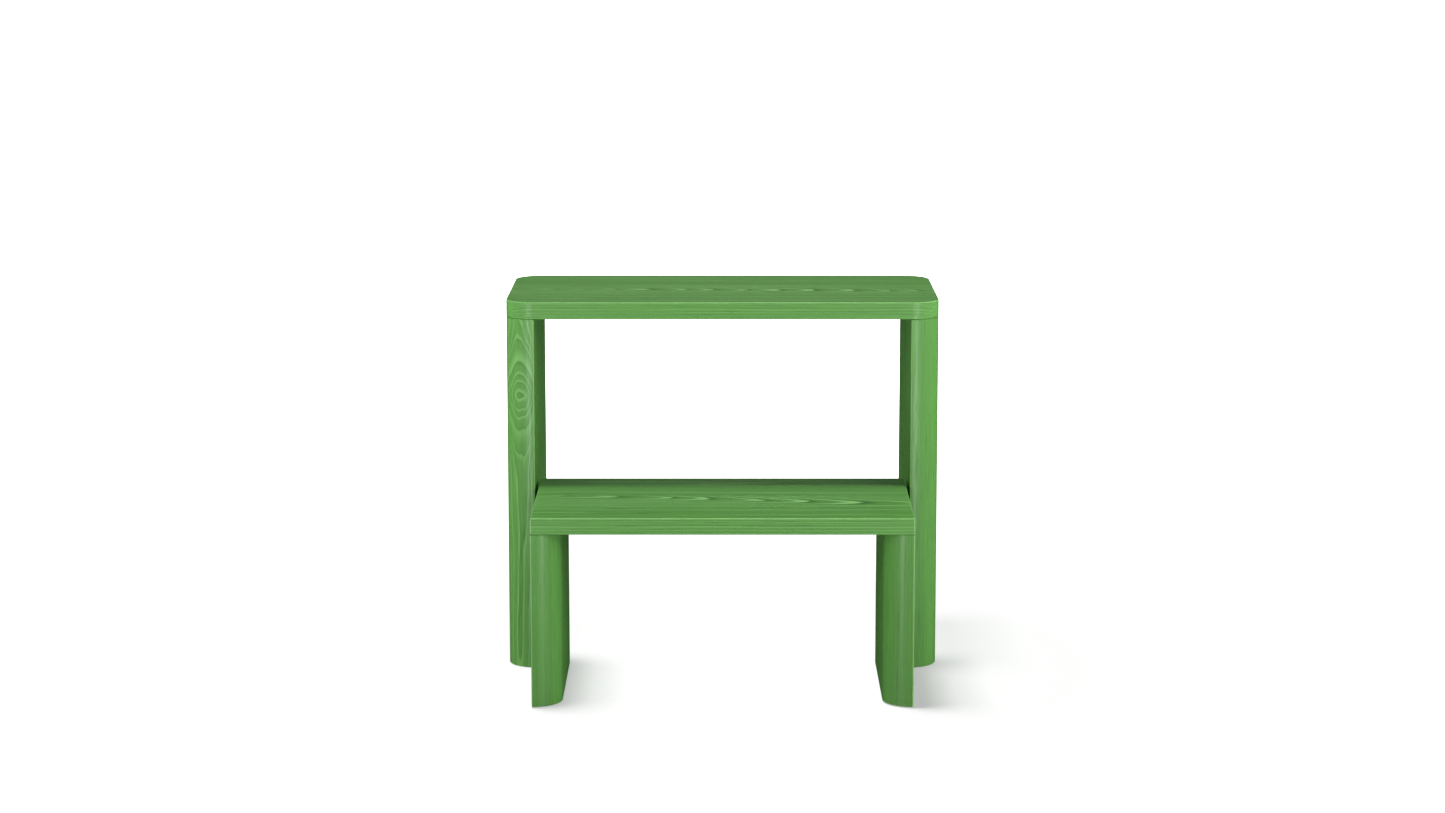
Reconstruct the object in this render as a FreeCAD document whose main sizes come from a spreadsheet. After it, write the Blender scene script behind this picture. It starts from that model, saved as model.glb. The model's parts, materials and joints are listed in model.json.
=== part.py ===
import FreeCAD, Part
import math
import os
import Sketcher

# Two-step step stool in solid ash. The lower step nests under the upper one and is pulled
# forward to climb. Millimetres, +Z up, the stool's front faces -Y. The origin is the middle
# of the footprint, on the floor, with the lower step pulled out.
#
# upper step : top_board, two tall panel legs, their dowels, glides and glide nails
# lower step : tread_board, two short panel legs, their dowels, glides and glide nails,
#              and a guide runner with its screws on the outer face of each short leg
#
# The runners ride in stopped grooves in the tall legs' inner faces. The grooves' ends are
# the stops of the slide, at both ends of its travel.

Vector = FreeCAD.Vector
Z_AXIS = Vector(0, 0, 1)
QUARTER = math.pi / 2

doc = FreeCAD.newDocument("step_stool")

# ---------------------------------------------------------------- driving dimensions (mm)

DIMENSIONS = {
    # overall
    "overall_width": 480,
    "overall_height": 414,
    "top_depth": 236,
    "tread_height": 207,
    "tread_depth": 226,
    "travel": 172,
    # solid wood
    "top_thickness": 19,
    "tread_thickness": 18,
    "leg_thickness": 32,
    "side_clearance": 4,
    "arris": 1.1,
    # dowel joints between boards and legs
    "dowel_diameter": 8,
    "dowel_length": 40,
    "dowel_in_board": 12,
    "dowel_pitch": 50,
    "dowel_count": 4,
    "dowel_chamfer": 0.8,
    "bore_play": 0.2,
    "bore_end_gap": 1,
    # nylon glides let into the leg ends
    "glide_diameter": 16,
    "glide_thickness": 3.5,
    "glide_stand_out": 1,
    "glide_rim": 0.8,
    "glide_inset": 45,
    "nail_diameter": 2.4,
    "nail_head_diameter": 6,
    "nail_head_thickness": 0.9,
    "nail_length": 14,
    "nail_point": 1.1,
    # guide runners and their grooves
    "runner_length": 42,
    "runner_height": 12,
    "runner_play": 0.3,
    "runner_face_gap": 0.5,
    "groove_depth": 8,
    "groove_setback": 6,
    "groove_level": 130,
    # countersunk wood screws through the runners
    "screw_diameter": 3.5,
    "screw_length": 25,
    "screw_head_diameter": 7,
    "screw_head_height": 2,
    "screw_head_sink": 0.3,
    "screw_point": 4,
    "screw_half_pitch": 12,
    "screw_recess_width": 0.9,
    "screw_recess_length": 3.6,
    "screw_recess_depth": 1.1,
}

sheet = doc.addObject("Spreadsheet::Sheet", "sheet")
for row, (alias, number) in enumerate(DIMENSIONS.items(), start=1):
    sheet.set(f"A{row}", alias)
    sheet.set(f"B{row}", str(number))
    sheet.setAlias(f"B{row}", alias)
doc.recompute()


def cell(name):
    """A driving dimension as an expression."""
    return f"<<sheet>>.{name}"


# lengths that follow from the driving dimensions, as expressions
BORE_DIAMETER = f"({cell('dowel_diameter')} + {cell('bore_play')})"
DOWEL_SPAN = f"({cell('dowel_pitch')} * ({cell('dowel_count')} - 1))"
DOWEL_IN_LEG = f"({cell('dowel_length')} - {cell('dowel_in_board')})"
UPPER_FRONT = f"(({cell('travel')} - {cell('top_depth')}) / 2)"
LOWER_FRONT = f"(0 - ({cell('travel')} + {cell('top_depth')}) / 2)"
UPPER_MIDDLE = f"({UPPER_FRONT} + {cell('top_depth')} / 2)"
LOWER_MIDDLE = f"({LOWER_FRONT} + {cell('tread_depth')} / 2)"
UPPER_FLAT_X = f"({cell('overall_width')} / 2 - {cell('leg_thickness')})"
LOWER_FLAT_X = f"({UPPER_FLAT_X} - {cell('side_clearance')})"
GROOVE_LENGTH = f"({cell('runner_length')} + {cell('travel')} + 2 * {cell('runner_play')})"
GROOVE_HEIGHT = f"({cell('runner_height')} + 2 * {cell('runner_play')})"
RUNNER_THICKNESS = f"({cell('side_clearance')} + {cell('groove_depth')} - {cell('runner_face_gap')})"
RUNNER_MIDDLE = (
    f"({UPPER_FRONT} + {cell('groove_setback')} + {cell('runner_play')}"
    f" + {cell('runner_length')} / 2)"
)
GLIDE_RECESS = f"({cell('glide_thickness')} - {cell('glide_stand_out')})"


# ---------------------------------------------------------------------- general helpers


def bind(obj, **expressions):
    """Bind properties to expressions. A double underscore in a name stands for a dot."""
    for prop, expression in expressions.items():
        obj.setExpression(prop.replace("__", "."), expression)


def place(body, x="0", y="0", z="0", rotation=None):
    """Place a body at expressions x, y, z, turned by a fixed rotation."""
    if rotation is not None:
        body.Placement = FreeCAD.Placement(Vector(), rotation)
    bind(body, Placement__Base__x=x, Placement__Base__y=y, Placement__Base__z=z)


def new_body(label):
    """An empty PartDesign body whose label names the sub-part."""
    body = doc.addObject("PartDesign::Body", label)
    body.Label = label
    return body


def origin_feature(body, role):
    """One of the body's own origin planes or axes."""
    return next(item for item in body.Origin.OriginFeatures if item.Role == role)


def sketch_on(body, name, plane="XY_Plane", x="0", y="0", z="0"):
    """A sketch on one of the body's origin planes, moved within that plane's own axes."""
    sketch = body.newObject("Sketcher::SketchObject", f"{body.Name}_{name}")
    sketch.AttachmentSupport = (origin_feature(body, plane), "")
    sketch.MapMode = "FlatFace"
    bind(
        sketch,
        AttachmentOffset__Base__x=x,
        AttachmentOffset__Base__y=y,
        AttachmentOffset__Base__z=z,
    )
    return sketch


def dimension(sketch, name, kind, *arguments):
    """Add a driving constraint at its present size; the last argument is its expression."""
    *references, expression = arguments
    size = float(sketch.evalExpression(expression))
    index = sketch.addConstraint(Sketcher.Constraint(kind, *references, size))
    sketch.renameConstraint(index, name)
    sketch.setExpression(f"Constraints.{name}", expression)


def relate(sketch, *constraints):
    """Add geometric constraints, each given as the arguments of Sketcher.Constraint."""
    for arguments in constraints:
        sketch.addConstraint(Sketcher.Constraint(*arguments))


def feature(body, kind, name, **expressions):
    """A PartDesign feature with its sizes bound to expressions."""
    item = body.newObject(f"PartDesign::{kind}", f"{body.Name}_{name}")
    bind(item, **expressions)
    return item


def pad(body, sketch, length):
    item = feature(body, "Pad", "pad", Length=length)
    item.Profile = sketch
    doc.recompute()
    return item


def pocket(body, sketch, depth, reverse):
    """Cut a sketch into the body, and make sure that it took material away."""
    before = body.Shape.Volume
    item = feature(body, "Pocket", f"{sketch.Name}_cut", Length=depth)
    item.Profile = sketch
    item.Reversed = reverse
    doc.recompute()
    if body.Shape.Volume > before - 1:
        raise RuntimeError(f"{item.Name} cuts nothing")
    return item


def pattern_y(body, originals, span, count):
    """Repeat features, or the whole body where originals is None, along the body's Y axis."""
    item = feature(body, "LinearPattern", f"row_{len(body.Group)}", Length=span)
    item.Direction = (origin_feature(body, "Y_Axis"), [""])
    if originals is None:
        item.TransformMode = "Whole shape"
    else:
        item.Originals = originals
    bind(item, Occurrences=count)
    body.Tip = item
    doc.recompute()
    return item


def edges_where(shape, test):
    """Names of the edges whose bounding box passes a test."""
    return [f"Edge{i}" for i, edge in enumerate(shape.Edges, start=1) if test(edge.BoundBox)]


def round_edges(body, base, name, radius, test):
    """Fillet the chosen edges of a feature."""
    item = feature(body, "Fillet", name, Radius=radius)
    item.Base = (base, edges_where(base.Shape, test))
    doc.recompute()
    return item


def cylinder(body, name, diameter, length, start="0", cut=False, x="0", y="0"):
    """A cylinder along the body's Z axis, added to the body or cut from it."""
    kind = "SubtractiveCylinder" if cut else "AdditiveCylinder"
    item = feature(body, kind, name, Radius=f"{diameter} / 2", Height=length)
    place(item, x, y, start)
    doc.recompute()
    return item


def cone(body, name, diameter_low, diameter_high, length, start="0", cut=False, y="0"):
    """A cone along the body's Z axis, added to the body or cut from it."""
    kind = "SubtractiveCone" if cut else "AdditiveCone"
    radii = {"Radius1": f"{diameter_low} / 2", "Radius2": f"{diameter_high} / 2"}
    item = feature(body, kind, name, Height=length, **radii)
    place(item, "0", y, start)
    doc.recompute()
    return item


def is_vertical(box):
    return box.ZLength > 2 * max(box.XLength, box.YLength)


# ----------------------------------------------------------------------- sketch outlines


def rectangle(sketch, width, depth):
    """A rectangle centred on the sketch's origin."""
    half_x = float(sketch.evalExpression(width)) / 2
    half_y = float(sketch.evalExpression(depth)) / 2
    corners = [
        Vector(-half_x, -half_y),
        Vector(half_x, -half_y),
        Vector(half_x, half_y),
        Vector(-half_x, half_y),
    ]
    for start, end in zip(corners, corners[1:] + corners[:1]):
        sketch.addGeometry(Part.LineSegment(start, end))
    for side in range(4):
        relate(sketch, ("Coincident", side, 2, (side + 1) % 4, 1))
    relate(
        sketch,
        ("Horizontal", 0),
        ("Vertical", 1),
        ("Horizontal", 2),
        ("Vertical", 3),
        ("Symmetric", 0, 1, 2, 1, -1, 1),
    )
    dimension(sketch, "width", "DistanceX", 0, 1, 0, 2, width)
    dimension(sketch, "depth", "DistanceY", 1, 1, 1, 2, depth)


def panel_section(sketch, thickness, depth):
    """Plan section of a panel leg.

    One face is flat, on the sketch's Y axis. The opposite one meets both ends of the flat
    face through a quarter circle as large as the leg is thick.
    """
    radius = float(sketch.evalExpression(thickness))
    half = float(sketch.evalExpression(depth)) / 2
    front_centre = Vector(0, radius - half)
    rear_centre = Vector(0, half - radius)
    flat = sketch.addGeometry(Part.LineSegment(Vector(0, half), Vector(0, -half)))
    front = sketch.addGeometry(
        Part.ArcOfCircle(Part.Circle(front_centre, Z_AXIS, radius), -QUARTER, 0)
    )
    side = sketch.addGeometry(
        Part.LineSegment(front_centre + Vector(radius, 0), rear_centre + Vector(radius, 0))
    )
    rear = sketch.addGeometry(
        Part.ArcOfCircle(Part.Circle(rear_centre, Z_AXIS, radius), 0, QUARTER)
    )
    relate(
        sketch,
        ("PointOnObject", flat, 1, -2),
        ("Symmetric", flat, 1, flat, 2, -1, 1),
        ("Coincident", flat, 2, front, 1),
        ("Coincident", rear, 2, flat, 1),
        ("PointOnObject", front, 3, -2),
        ("PointOnObject", rear, 3, -2),
        ("Tangent", front, 2, side, 1),
        ("Tangent", side, 2, rear, 1),
        ("Vertical", side),
    )
    dimension(sketch, "depth", "DistanceY", flat, 2, flat, 1, depth)
    dimension(sketch, "radius", "Radius", front, thickness)


def stadium(sketch, length, height):
    """A slot with round ends along the sketch's X axis, centred on its origin."""
    radius = float(sketch.evalExpression(height)) / 2
    reach = float(sketch.evalExpression(length)) / 2 - radius
    low = sketch.addGeometry(
        Part.LineSegment(Vector(-reach, -radius), Vector(reach, -radius))
    )
    right = sketch.addGeometry(
        Part.ArcOfCircle(Part.Circle(Vector(reach, 0), Z_AXIS, radius), -QUARTER, QUARTER)
    )
    high = sketch.addGeometry(Part.LineSegment(Vector(reach, radius), Vector(-reach, radius)))
    left = sketch.addGeometry(
        Part.ArcOfCircle(
            Part.Circle(Vector(-reach, 0), Z_AXIS, radius), QUARTER, 3 * QUARTER
        )
    )
    relate(
        sketch,
        ("Tangent", low, 2, right, 1),
        ("Tangent", right, 2, high, 1),
        ("Tangent", high, 2, left, 1),
        ("Tangent", left, 2, low, 1),
        ("Equal", left, right),
        ("PointOnObject", left, 3, -1),
        ("Symmetric", left, 3, right, 3, -1, 1),
    )
    dimension(sketch, "radius", "Radius", left, f"({height} / 2)")
    dimension(sketch, "reach", "DistanceX", left, 3, right, 3, f"({length} - {height})")


def circle(sketch, diameter):
    """A circle on the sketch's origin."""
    radius = float(sketch.evalExpression(diameter)) / 2
    ring = sketch.addGeometry(Part.Circle(Vector(), Z_AXIS, radius))
    relate(sketch, ("Coincident", ring, 3, -1, 1))
    dimension(sketch, "diameter", "Diameter", ring, diameter)


# ---------------------------------------------------------------------------- sub-parts


def board(label, depth, thickness, width, corner_radius=None):
    """A solid wood board, its underside on the body's XY plane."""
    body = new_body(label)
    outline = sketch_on(body, "outline")
    rectangle(outline, width, depth)
    slab = pad(body, outline, thickness)
    if corner_radius is not None:
        slab = round_edges(body, slab, "corners", corner_radius, is_vertical)
        round_edges(body, slab, "arris", cell("arris"), lambda box: not is_vertical(box))
    else:
        round_edges(body, slab, "arris", cell("arris"), lambda box: True)
    leg_middle = f"({width} / 2 - {cell('leg_thickness')} / 2)"
    for side, sign in (("left", -1), ("right", 1)):
        bore = sketch_on(body, f"bore_{side}", x=f"{sign} * {leg_middle}", y=f"0 - {DOWEL_SPAN} / 2")
        circle(bore, BORE_DIAMETER)
        hole = pocket(body, bore, f"{cell('dowel_in_board')} + {cell('bore_end_gap')}", True)
        pattern_y(body, [hole], DOWEL_SPAN, cell("dowel_count"))
    return body


def panel_leg(label, depth, length):
    """A panel leg with its dowel bores, glide recesses and nail holes.

    The flat face lies on the body's YZ plane, the wood on its +X side, the foot on z = 0.
    """
    body = new_body(label)
    section = sketch_on(body, "section")
    panel_section(section, cell("leg_thickness"), depth)
    blank = pad(body, section, length)
    flat_corner = DIMENSIONS["arris"]
    round_edges(
        body,
        blank,
        "arris",
        cell("arris"),
        lambda box: not is_vertical(box) or box.XMax < flat_corner,
    )
    middle = f"{cell('leg_thickness')} / 2"
    bore = sketch_on(body, "bore", x=middle, y=f"0 - {DOWEL_SPAN} / 2", z=length)
    circle(bore, BORE_DIAMETER)
    hole = pocket(body, bore, f"{DOWEL_IN_LEG} + {cell('bore_end_gap')}", False)
    pattern_y(body, [hole], DOWEL_SPAN, cell("dowel_count"))
    glide_span = f"({depth} - 2 * {cell('glide_inset')})"
    nail_hole = f"({cell('nail_diameter')} + {cell('bore_play')})"
    recess = sketch_on(body, "glide_recess", x=middle, y=f"0 - {glide_span} / 2")
    circle(recess, f"({cell('glide_diameter')} + 2 * {cell('bore_play')})")
    seat = pocket(body, recess, GLIDE_RECESS, True)
    nail = sketch_on(body, "nail_hole", x=middle, y=f"0 - {glide_span} / 2")
    circle(nail, nail_hole)
    prick = pocket(body, nail, f"{GLIDE_RECESS} + {cell('nail_length')}", True)
    pattern_y(body, [seat, prick], glide_span, "2")
    return body


def cut_groove(leg, facing):
    """The stopped groove in a tall leg's flat face. facing is -1 for a leg turned round."""
    offset = (
        f"{facing} * ({cell('groove_setback')} + {GROOVE_LENGTH} / 2 - {cell('top_depth')} / 2)"
    )
    level = f"{cell('groove_level')} - {cell('glide_stand_out')}"
    groove = sketch_on(leg, "groove", "YZ_Plane", x=offset, y=level)
    stadium(groove, GROOVE_LENGTH, GROOVE_HEIGHT)
    pocket(leg, groove, cell("groove_depth"), True)


def drill_for_screws(leg, facing):
    """Pilot holes for the runner's screws in a short leg's flat face."""
    depth = f"{cell('screw_length')} + {cell('bore_end_gap')} - {RUNNER_THICKNESS}"
    level = f"{cell('groove_level')} - {cell('glide_stand_out')}"
    for name, sign in (("front", -1), ("rear", 1)):
        offset = f"{facing} * ({RUNNER_MIDDLE} - {LOWER_MIDDLE} + {sign} * {cell('screw_half_pitch')})"
        pilot = sketch_on(leg, f"pilot_{name}", "YZ_Plane", x=offset, y=level)
        circle(pilot, f"({cell('screw_diameter')} + {cell('bore_play')})")
        pocket(leg, pilot, depth, True)


def dowels(label):
    """A row of chamfered beech dowels, standing on z = 0, along Y from y = 0."""
    body = new_body(label)
    pin = cylinder(body, "pin", cell("dowel_diameter"), cell("dowel_length"))
    item = feature(body, "Chamfer", "ends", Size=cell("dowel_chamfer"))
    item.Base = (pin, edges_where(pin.Shape, lambda box: not is_vertical(box)))
    doc.recompute()
    pattern_y(body, None, DOWEL_SPAN, cell("dowel_count"))
    return body


def glides(label, span):
    """Two nylon glides, the face that meets the floor on z = 0, along Y from y = 0."""
    body = new_body(label)
    disc = cylinder(body, "disc", cell("glide_diameter"), cell("glide_thickness"))
    round_edges(body, disc, "rim", cell("glide_rim"), lambda box: box.ZMax < 1e-6)
    head_seat = f"({cell('nail_head_thickness')} + {cell('bore_play')})"
    start = f"{cell('glide_thickness')} - {head_seat}"
    seat_diameter = f"({cell('nail_head_diameter')} + {cell('bore_play')})"
    cylinder(body, "head_seat", seat_diameter, head_seat, start, cut=True)
    pattern_y(body, None, span, "2")
    return body


def glide_nails(label, span):
    """Two pointed nails, heads down on z = 0, along Y from y = 0."""
    body = new_body(label)
    cylinder(body, "head", cell("nail_head_diameter"), cell("nail_head_thickness"))
    shank = cylinder(body, "shank", cell("nail_diameter"), cell("nail_length"))
    item = feature(body, "Chamfer", "point", Size=cell("nail_point"))
    top = DIMENSIONS["nail_length"] - 1e-3
    item.Base = (shank, edges_where(shank.Shape, lambda box: box.ZMin > top))
    doc.recompute()
    pattern_y(body, None, span, "2")
    return body


def runner(label):
    """A guide runner, its fixing face on the body's XY plane, with two countersunk holes."""
    body = new_body(label)
    outline = sketch_on(body, "outline")
    stadium(outline, cell("runner_length"), cell("runner_height"))
    pad(body, outline, RUNNER_THICKNESS)
    hole = f"({cell('screw_diameter')} + {cell('bore_play')})"
    sink = f"({cell('screw_head_diameter')} + {cell('bore_play')})"
    sink_floor = f"{RUNNER_THICKNESS} - {cell('screw_head_sink')}"
    for name, sign in (("front", -1), ("rear", 1)):
        x = f"{sign} * {cell('screw_half_pitch')}"
        cylinder(body, f"hole_{name}", hole, RUNNER_THICKNESS, "0", True, x=x)
        counterbore = cylinder(
            body, f"counterbore_{name}", sink, cell("screw_head_sink"), sink_floor, True, x=x
        )
        taper = feature(
            body,
            "SubtractiveCone",
            f"countersink_{name}",
            Radius1=f"{hole} / 2",
            Radius2=f"{sink} / 2",
            Height=cell("screw_head_height"),
        )
        place(taper, x, "0", f"{sink_floor} - {cell('screw_head_height')}")
        doc.recompute()
    return body


def runner_screws(label):
    """Two countersunk screws, head faces on z = 0, points down, along Y from y = 0."""
    body = new_body(label)
    head_low = f"0 - {cell('screw_head_height')}"
    point_top = f"{cell('screw_point')} - {cell('screw_length')}"
    shank_length = f"{cell('screw_length')} - {cell('screw_point')} - {cell('screw_head_height')}"
    cone(body, "head", cell("screw_diameter"), cell("screw_head_diameter"),
         cell("screw_head_height"), head_low)
    cylinder(body, "shank", cell("screw_diameter"), shank_length, point_top)
    cone(body, "point", "0.4", cell("screw_diameter"), cell("screw_point"),
         f"0 - {cell('screw_length')}")
    for name, long_axis, short_axis in (("a", "Length", "Width"), ("b", "Width", "Length")):
        slot = feature(body, "SubtractiveBox", f"recess_{name}", Height=cell("screw_recess_depth"))
        bind(slot, **{long_axis: cell("screw_recess_length"), short_axis: cell("screw_recess_width")})
        across = {long_axis: "screw_recess_length", short_axis: "screw_recess_width"}
        place(
            slot,
            f"0 - {cell(across['Length'])} / 2",
            f"0 - {cell(across['Width'])} / 2",
            f"0 - {cell('screw_recess_depth')}",
        )
        doc.recompute()
    pattern_y(body, None, f"2 * {cell('screw_half_pitch')}", "2")
    return body


# ----------------------------------------------------------------------------- assembly

HALF_TURN = FreeCAD.Rotation(Z_AXIS, 180)
NO_TURN = FreeCAD.Rotation()
SIDES = {"left": -1, "right": 1}

STEPS = {
    "upper": {
        "board": "top_board",
        "level": cell("overall_height"),
        "thickness": cell("top_thickness"),
        "depth": cell("top_depth"),
        "middle": UPPER_MIDDLE,
        "flat_x": UPPER_FLAT_X,
        "outward": 1,
        "width": cell("overall_width"),
        "corner_radius": cell("leg_thickness"),
    },
    "lower": {
        "board": "tread_board",
        "level": cell("tread_height"),
        "thickness": cell("tread_thickness"),
        "depth": cell("tread_depth"),
        "middle": LOWER_MIDDLE,
        "flat_x": LOWER_FLAT_X,
        "outward": -1,
        "width": f"(2 * {LOWER_FLAT_X})",
        "corner_radius": None,
    },
}

sub_parts = []

for step_name, step in STEPS.items():
    underside = f"({step['level']} - {step['thickness']})"
    slab = board(
        step["board"], step["depth"], step["thickness"], step["width"], step["corner_radius"]
    )
    place(slab, "0", step["middle"], underside)
    sub_parts.append(slab)
    foot = cell("glide_stand_out")
    glide_span = f"({step['depth']} - 2 * {cell('glide_inset')})"
    dowel_y = f"{step['middle']} - {DOWEL_SPAN} / 2"
    glide_y = f"{step['middle']} - {glide_span} / 2"
    nail_z = f"{cell('glide_thickness')} - {cell('nail_head_thickness')}"
    for side, sign in SIDES.items():
        # the flat face of a tall leg looks inward, that of a short leg outward
        facing = sign * step["outward"]
        flat_x = f"{sign} * {step['flat_x']}"
        middle_x = f"{flat_x} + {facing} * {cell('leg_thickness')} / 2"
        leg = panel_leg(f"{step_name}_leg_{side}", step["depth"], f"({underside} - {foot})")
        if step_name == "upper":
            cut_groove(leg, facing)
        else:
            drill_for_screws(leg, facing)
        place(leg, flat_x, step["middle"], foot, NO_TURN if facing > 0 else HALF_TURN)
        pins = dowels(f"{step_name}_dowels_{side}")
        place(pins, middle_x, dowel_y, f"{underside} - {DOWEL_IN_LEG}")
        discs = glides(f"{step_name}_glides_{side}", glide_span)
        place(discs, middle_x, glide_y, "0")
        nails = glide_nails(f"{step_name}_glide_nails_{side}", glide_span)
        place(nails, middle_x, glide_y, nail_z)
        sub_parts += [leg, pins, discs, nails]

for side, sign in SIDES.items():
    # the bodies' Z axis turned to point outward, to the stool's side
    outward = FreeCAD.Rotation(Vector(0, 1, 0), 90 * sign)
    guide = runner(f"runner_{side}")
    place(
        guide,
        f"{sign} * {LOWER_FLAT_X}",
        RUNNER_MIDDLE,
        cell("groove_level"),
        outward * FreeCAD.Rotation(Z_AXIS, 90),
    )
    screws = runner_screws(f"runner_screws_{side}")
    head_x = f"{sign} * ({LOWER_FLAT_X} + {RUNNER_THICKNESS} - {cell('screw_head_sink')})"
    place(
        screws,
        head_x,
        f"{RUNNER_MIDDLE} - {cell('screw_half_pitch')}",
        cell("groove_level"),
        outward,
    )
    sub_parts += [guide, screws]

doc.recompute()

# ------------------------------------------------------------------- checks and hand-over

for obj in doc.Objects:
    if "Invalid" in obj.State or "Error" in obj.State:
        raise RuntimeError(f"{obj.Name} failed: {obj.State}")

os.makedirs("parts", exist_ok=True)
for body in sub_parts:
    shape = body.Shape
    if shape.isNull() or not shape.isValid():
        raise RuntimeError(f"{body.Label} has no valid shape")
    shape.exportStep(f"parts/{body.Label}.step")
    box = shape.BoundBox
    print(
        f"{body.Label:24} {len(shape.Solids)} solids {shape.Volume:12.1f} mm3"
        f"  x {box.XMin:8.2f} {box.XMax:8.2f}  y {box.YMin:8.2f} {box.YMax:8.2f}"
        f"  z {box.ZMin:7.2f} {box.ZMax:7.2f}"
    )
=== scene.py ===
# %% [markdown]
# # A nesting two-step stool in green stained ash
#
# The stool is a tall step and a low step, each a board on two panel legs. The low step slides
# in under the tall one. The CAD model already holds every size and every moving part, so this
# file loads it as a fixed frame and gives it its looks: finely rounded wood, a grain that is
# different in each board, and soft studio light.

# %% Load the frame
import bmesh
import bpy
import json
import math
from mathutils import Matrix, Vector


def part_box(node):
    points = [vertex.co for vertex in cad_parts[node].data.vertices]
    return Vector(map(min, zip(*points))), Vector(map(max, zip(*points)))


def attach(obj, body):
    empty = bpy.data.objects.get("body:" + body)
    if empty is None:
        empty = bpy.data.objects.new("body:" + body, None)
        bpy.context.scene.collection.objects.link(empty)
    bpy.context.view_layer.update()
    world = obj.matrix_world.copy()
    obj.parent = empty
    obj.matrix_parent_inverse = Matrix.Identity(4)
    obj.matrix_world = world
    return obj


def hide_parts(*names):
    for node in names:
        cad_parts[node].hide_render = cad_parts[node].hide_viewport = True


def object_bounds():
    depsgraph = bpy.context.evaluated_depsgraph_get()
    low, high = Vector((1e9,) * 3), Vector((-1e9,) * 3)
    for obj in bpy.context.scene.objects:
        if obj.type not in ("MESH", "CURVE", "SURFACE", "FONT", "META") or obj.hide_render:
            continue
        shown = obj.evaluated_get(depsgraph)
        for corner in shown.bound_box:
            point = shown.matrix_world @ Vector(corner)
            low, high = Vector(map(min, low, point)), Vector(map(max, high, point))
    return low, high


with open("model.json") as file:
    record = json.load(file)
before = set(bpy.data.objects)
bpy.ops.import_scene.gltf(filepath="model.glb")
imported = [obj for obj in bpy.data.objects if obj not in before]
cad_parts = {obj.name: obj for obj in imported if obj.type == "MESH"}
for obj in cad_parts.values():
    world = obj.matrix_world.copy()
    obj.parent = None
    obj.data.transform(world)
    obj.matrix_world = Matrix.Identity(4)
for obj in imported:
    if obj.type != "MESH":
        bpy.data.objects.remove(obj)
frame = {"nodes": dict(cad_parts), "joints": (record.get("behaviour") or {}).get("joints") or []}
cad_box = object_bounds()
print("CAD box", cad_box)

# %% [markdown]
# Everything below is measured from the CAD pieces.

# %% Sizes that the pieces share
MM = 0.001

top_low, top_high = map(Vector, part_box("top_board"))
tread_low, tread_high = map(Vector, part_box("tread_board"))
leg_low, leg_high = map(Vector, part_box("upper_leg_right"))
leg_thickness = leg_high.x - leg_low.x
upper_front = top_low.y
print("leg thickness", round(leg_thickness / MM, 2), "mm")

# %% [markdown]
# ## Three small helpers
#
# Colours are written as the sRGB hex values that a paint chart or a browser shows. Blender's
# shaders calculate in linear light, so one function turns hex into linear. A second one adds a
# shader node with its settings and its links, which keeps the node networks below readable. A
# third makes an empty material for such nodes.


# %% Helpers for colours and nodes
def linear(hex_colour):
    """An sRGB hex colour as a linear RGBA tuple."""
    channels = [int(hex_colour[i:i + 2], 16) / 255 for i in (1, 3, 5)]
    return tuple(
        c / 12.92 if c <= 0.04045 else ((c + 0.055) / 1.055) ** 2.4 for c in channels
    ) + (1.0,)


def add_node(tree, kind, inputs=None, **settings):
    """Add a node, set its properties, and fill or link its inputs."""
    node = tree.nodes.new(kind)
    for name, value in settings.items():
        setattr(node, name, value)
    for socket, value in (inputs or {}).items():
        if isinstance(value, bpy.types.NodeSocket):
            tree.links.new(value, node.inputs[socket])
        else:
            node.inputs[socket].default_value = value
    return node


def new_material(name):
    """An empty node material, with its output node."""
    material = bpy.data.materials.new(name)
    material.use_nodes = True
    material.node_tree.nodes.clear()
    output = material.node_tree.nodes.new("ShaderNodeOutputMaterial")
    return material, material.node_tree, output


# %% [markdown]
# ## The wood: stained ash
#
# Ash is a ring-porous wood. Each year's ring starts with a band of large pores, the earlywood,
# and ends in a dense smooth band, the latewood. A green stain and a thin satin lacquer leave the
# pores open, so they show as fine dark dashes along the grain, and each ring has a light edge.
#
# A board is a cut through a tree, so the pattern is made the same way: a set of nested rings
# around the heart of the tree, worked out at every point of the wood from Object coordinates.
# Where the heart runs close under a face and slowly dives away from it, the rings come out as
# long pointed arches. Where it is far below, they come out as nearly straight lines. End grain
# appears by itself on the sawn ends.
#
# Wide boards are glued up from staves. One stave in each board, the figured one, follows the
# heart line that it is given. The others each get a heart of their own from a random number.

# %% [markdown]
# No tree is perfectly round, so the first step is a slow wave that pushes the rings a few
# millimetres off. It is ten times longer along the grain than across it. The noise that makes
# it lies around 0.5, so that is taken off first, and the wave goes both ways.

# %% A slow wave in the wood
WAVE_LENGTH = 250 * MM
WAVE_WIDTH = 25 * MM
WAVE_PUSH = 4 * MM
NOISE_MIDDLE = (0.5, 0.5, 0.5)
print("a wave every", round(WAVE_LENGTH / MM), "mm along the grain")


def waved_wood(tree, grained):
    """The place in the wood, pushed off a little by a slow wave."""
    slow = add_node(
        tree, "ShaderNodeMapping",
        {"Vector": grained, "Scale": (1 / WAVE_LENGTH, 1 / WAVE_WIDTH, 1 / WAVE_WIDTH)},
    ).outputs["Vector"]
    wave = add_node(
        tree, "ShaderNodeTexNoise", {"Vector": slow, "Scale": 1.0, "Detail": 2.0},
    ).outputs["Color"]
    centred = add_node(
        tree, "ShaderNodeVectorMath", {0: wave, 1: NOISE_MIDDLE}, operation="SUBTRACT",
    ).outputs["Vector"]
    return add_node(
        tree, "ShaderNodeVectorMath",
        {0: centred, 1: (0.0, WAVE_PUSH, WAVE_PUSH), 2: grained}, operation="MULTIPLY_ADD",
    ).outputs["Vector"]


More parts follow.
